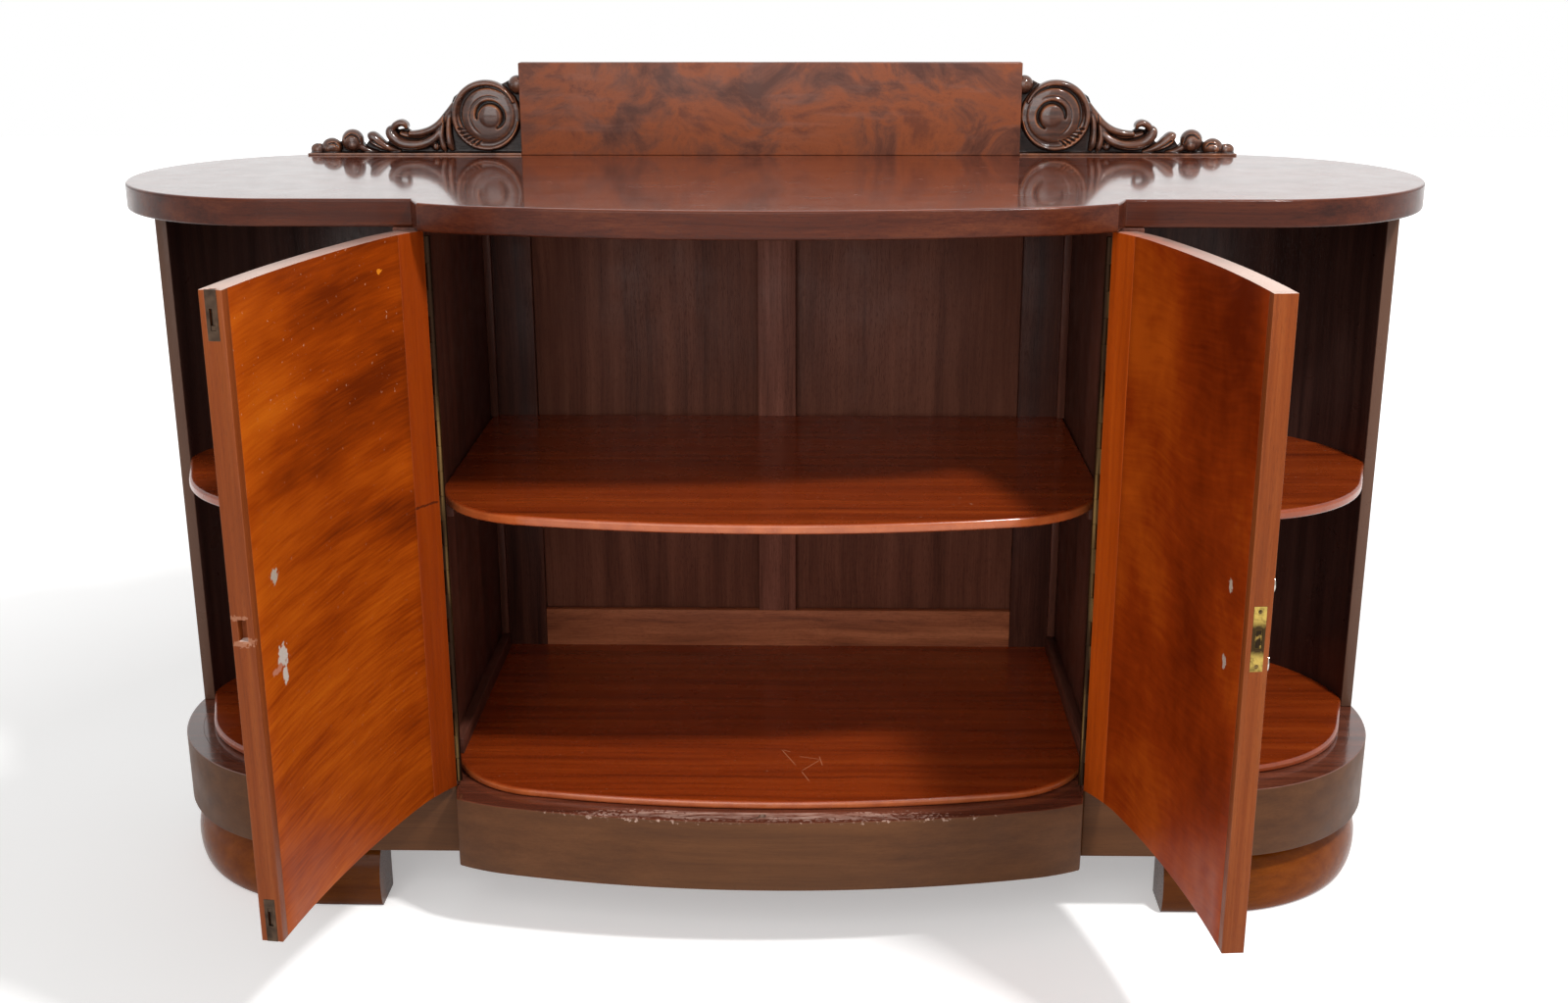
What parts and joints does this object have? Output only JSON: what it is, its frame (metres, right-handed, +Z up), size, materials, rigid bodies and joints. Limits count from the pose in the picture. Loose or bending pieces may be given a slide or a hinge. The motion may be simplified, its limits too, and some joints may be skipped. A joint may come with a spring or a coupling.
{
  "type": "chiffonier",
  "caption": "Low bow-fronted wooden cupboard with curved hinged doors between open round ends with shelves, a shaped top with a carved upstand, and a plinth on feet.",
  "frame": {"origin": "on the floor, under the middle of the box that holds the piece with both doors open", "axes": "+X to the right of someone facing the doors, +Y towards the back, +Z up"},
  "size_m": [1.5, 0.7964, 0.967],
  "materials": {
    "polished_top": "glossy red-brown french polish",
    "figured_panel": "burr-figured veneer, polished",
    "carved_wood": "dark stained carving, worn on its high points",
    "carcass_wood": "dark stained, satin",
    "shelf_wood": "dark stained with a lighter rubbed front edge",
    "back_wood": "dark stained, plain",
    "end_veneer": "polished red-brown veneer",
    "plinth_wood": "faded grey-brown, satin",
    "deck_wood": "dark stained",
    "foot_wood": "glossy red-brown",
    "plain_softwood": "unpolished",
    "door_veneer": "orange-brown figured veneer",
    "door_stile_wood": "bright orange-brown, straight grain",
    "door_lipping_wood": "pinkish-brown lipping",
    "tarnished_brass": "tarnished",
    "bright_brass": "rubbed",
    "plated_metal": "dulled nickel plate",
    "dark_iron": "dark, oiled"
  },
  "bodies": {
    "carcass": {"top_board": "polished_top", "upstand_panel": "figured_panel", "scroll_left": "carved_wood", "scroll_right": "carved_wood", "hinge_frame_screws": "tarnished_brass", "centre_floor": "shelf_wood", "centre_shelf": "shelf_wood", "floor_cleats": "carcass_wood", "back_bottom_rail": "back_wood", "back_top_rail": "back_wood", "back_muntin": "back_wood", "corner_battens": "carcass_wood", "plinth_bow": "plinth_wood", "plinth_back_rail": "plain_softwood", "foot_blocks": "plain_softwood", "plinth_deck": "deck_wood", "partition_left": "carcass_wood", "hinge_post_left": "carcass_wood", "end_panel_left": "end_veneer", "left_floor": "shelf_wood", "left_shelf": "shelf_wood", "shelf_bearers_left": "carcass_wood", "back_stile_left": "back_wood", "back_panel_left": "back_wood", "plinth_left": "plinth_wood", "front_foot_left": "foot_wood", "rear_foot_left": "plain_softwood", "left_hinge_frame_leaf": "tarnished_brass", "left_hinge_pin": "tarnished_brass", "partition_right": "carcass_wood", "hinge_post_right": "carcass_wood", "end_panel_right": "end_veneer", "right_floor": "shelf_wood", "right_shelf": "shelf_wood", "shelf_bearers_right": "carcass_wood", "back_stile_right": "back_wood", "back_panel_right": "back_wood", "plinth_right": "plinth_wood", "front_foot_right": "foot_wood", "rear_foot_right": "plain_softwood", "right_hinge_frame_leaf": "tarnished_brass", "right_hinge_pin": "tarnished_brass"},
    "left_door": {"left_door_hinge_stile": "door_stile_wood", "left_door_panel": "door_veneer", "left_door_lipping": "door_lipping_wood", "left_door_screws": "tarnished_brass", "left_pull": "plated_metal", "left_hinge_door_leaf": "tarnished_brass", "flush_bolt_plates": "dark_iron"},
    "right_door": {"right_door_hinge_stile": "door_stile_wood", "right_door_panel": "door_veneer", "right_door_lipping": "door_lipping_wood", "right_door_screws": "tarnished_brass", "right_pull": "plated_metal", "right_hinge_door_leaf": "tarnished_brass", "lock_case": "dark_iron", "lock_face_plate": "bright_brass"},
    "upper_bolt": {"flush_bolt_top": "dark_iron"},
    "lower_bolt": {"flush_bolt_bottom": "dark_iron"},
    "sliding_bolt": {"lock_bolt": "bright_brass"}
  },
  "joints": [
    {"name": "left_door_swing", "type": "hinge", "parent": "carcass", "child": "left_door", "pos_m": [-0.362, -0.04351, 0.496], "axis": [0, 0, 1], "range_deg": [-3, 97.8]},
    {"name": "right_door_swing", "type": "hinge", "parent": "carcass", "child": "right_door", "pos_m": [0.362, -0.04351, 0.496], "axis": [0, 0, -1], "range_deg": [-6.4, 94.6]},
    {"name": "upper_bolt_slide", "type": "slide", "parent": "left_door", "child": "upper_bolt", "axis": [0, 0, 1], "range_m": [0, 0.01]},
    {"name": "lower_bolt_slide", "type": "slide", "parent": "left_door", "child": "lower_bolt", "axis": [0, 0, -1], "range_m": [0, 0.01]},
    {"name": "lock_bolt_slide", "type": "slide", "parent": "right_door", "child": "sliding_bolt", "axis": [0.0802, -0.9968, 0], "range_m": [0, 0.008]}
  ]
}
